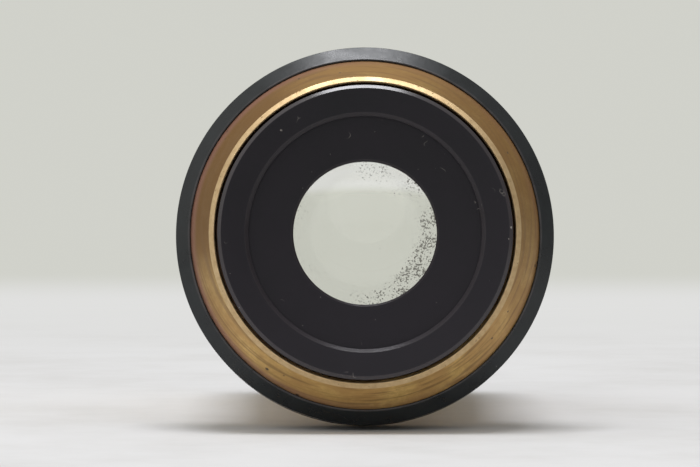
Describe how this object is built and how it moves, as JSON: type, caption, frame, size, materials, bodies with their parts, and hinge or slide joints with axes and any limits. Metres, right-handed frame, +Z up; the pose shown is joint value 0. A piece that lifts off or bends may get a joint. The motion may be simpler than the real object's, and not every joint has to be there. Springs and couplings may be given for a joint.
{
  "type": "microscope eyepiece",
  "caption": "Round brass microscope eyepiece with a black ringed head, stepped black lens cell, body tube, field stop and field lens.",
  "frame": {"origin": "on the optical axis, in the plane of the shoulder that rests on the draw tube", "axes": "+Y along the optical axis away from the eye, towards the objective; the eye end faces -Y; +Z up with the eyepiece lying on its side"},
  "size_m": [0.03, 0.044, 0.03],
  "materials": {
    "turned_brass": "turned, tarnished brown, front edge worn bright",
    "tube_brass": "lacquered, rubbed along its length",
    "black_lacquer": "semi-gloss black lacquer",
    "cell_black": "matt instrument black",
    "ring_black": "chemically blackened brass",
    "spring_wire": "drawn wire",
    "lens_glass": "polished crown glass, dusty"
  },
  "bodies": {
    "eyepiece_body": {"head_shell": "turned_brass", "grip_ring": "black_lacquer", "body_tube": "tube_brass"},
    "eye_lens_carrier": {"eye_lens": "lens_glass"},
    "eye_cell": {"eye_lens_cell": "cell_black", "eye_lens_retainer": "ring_black"},
    "field_lens_carrier": {"field_lens": "lens_glass"},
    "field_cell": {"field_lens_cell": "tube_brass", "field_lens_retainer": "ring_black"},
    "stop_carrier": {"stop_sleeve": "ring_black", "field_stop": "ring_black", "stop_circlip": "spring_wire"}
  },
  "joints": [
    {"name": "eye_cell_rise", "type": "slide", "parent": "eyepiece_body", "child": "eye_lens_carrier", "axis": [0, -1, 0], "range_m": [0, 0.0013]},
    {"name": "eye_cell_turn", "type": "hinge", "parent": "eye_lens_carrier", "child": "eye_cell", "pos_m": [0, 0, 0], "axis": [0, -1, 0], "range_deg": [0, 900]},
    {"name": "field_cell_rise", "type": "slide", "parent": "eyepiece_body", "child": "field_lens_carrier", "axis": [0, 1, 0], "range_m": [0, 0.0041]},
    {"name": "field_cell_turn", "type": "hinge", "parent": "field_lens_carrier", "child": "field_cell", "pos_m": [0, 0, 0], "axis": [0, 1, 0], "range_deg": [0, 2880]},
    {"name": "stop_focus", "type": "slide", "parent": "eyepiece_body", "child": "stop_carrier", "axis": [0, 1, 0], "range_m": [-0.004, 0.004]}
  ],
  "couplings": [
    {"joint": "eye_cell_rise", "follows": "eye_cell_turn", "m_per_rad": 0.000079577},
    {"joint": "field_cell_rise", "follows": "field_cell_turn", "m_per_rad": 0.000079577}
  ]
}
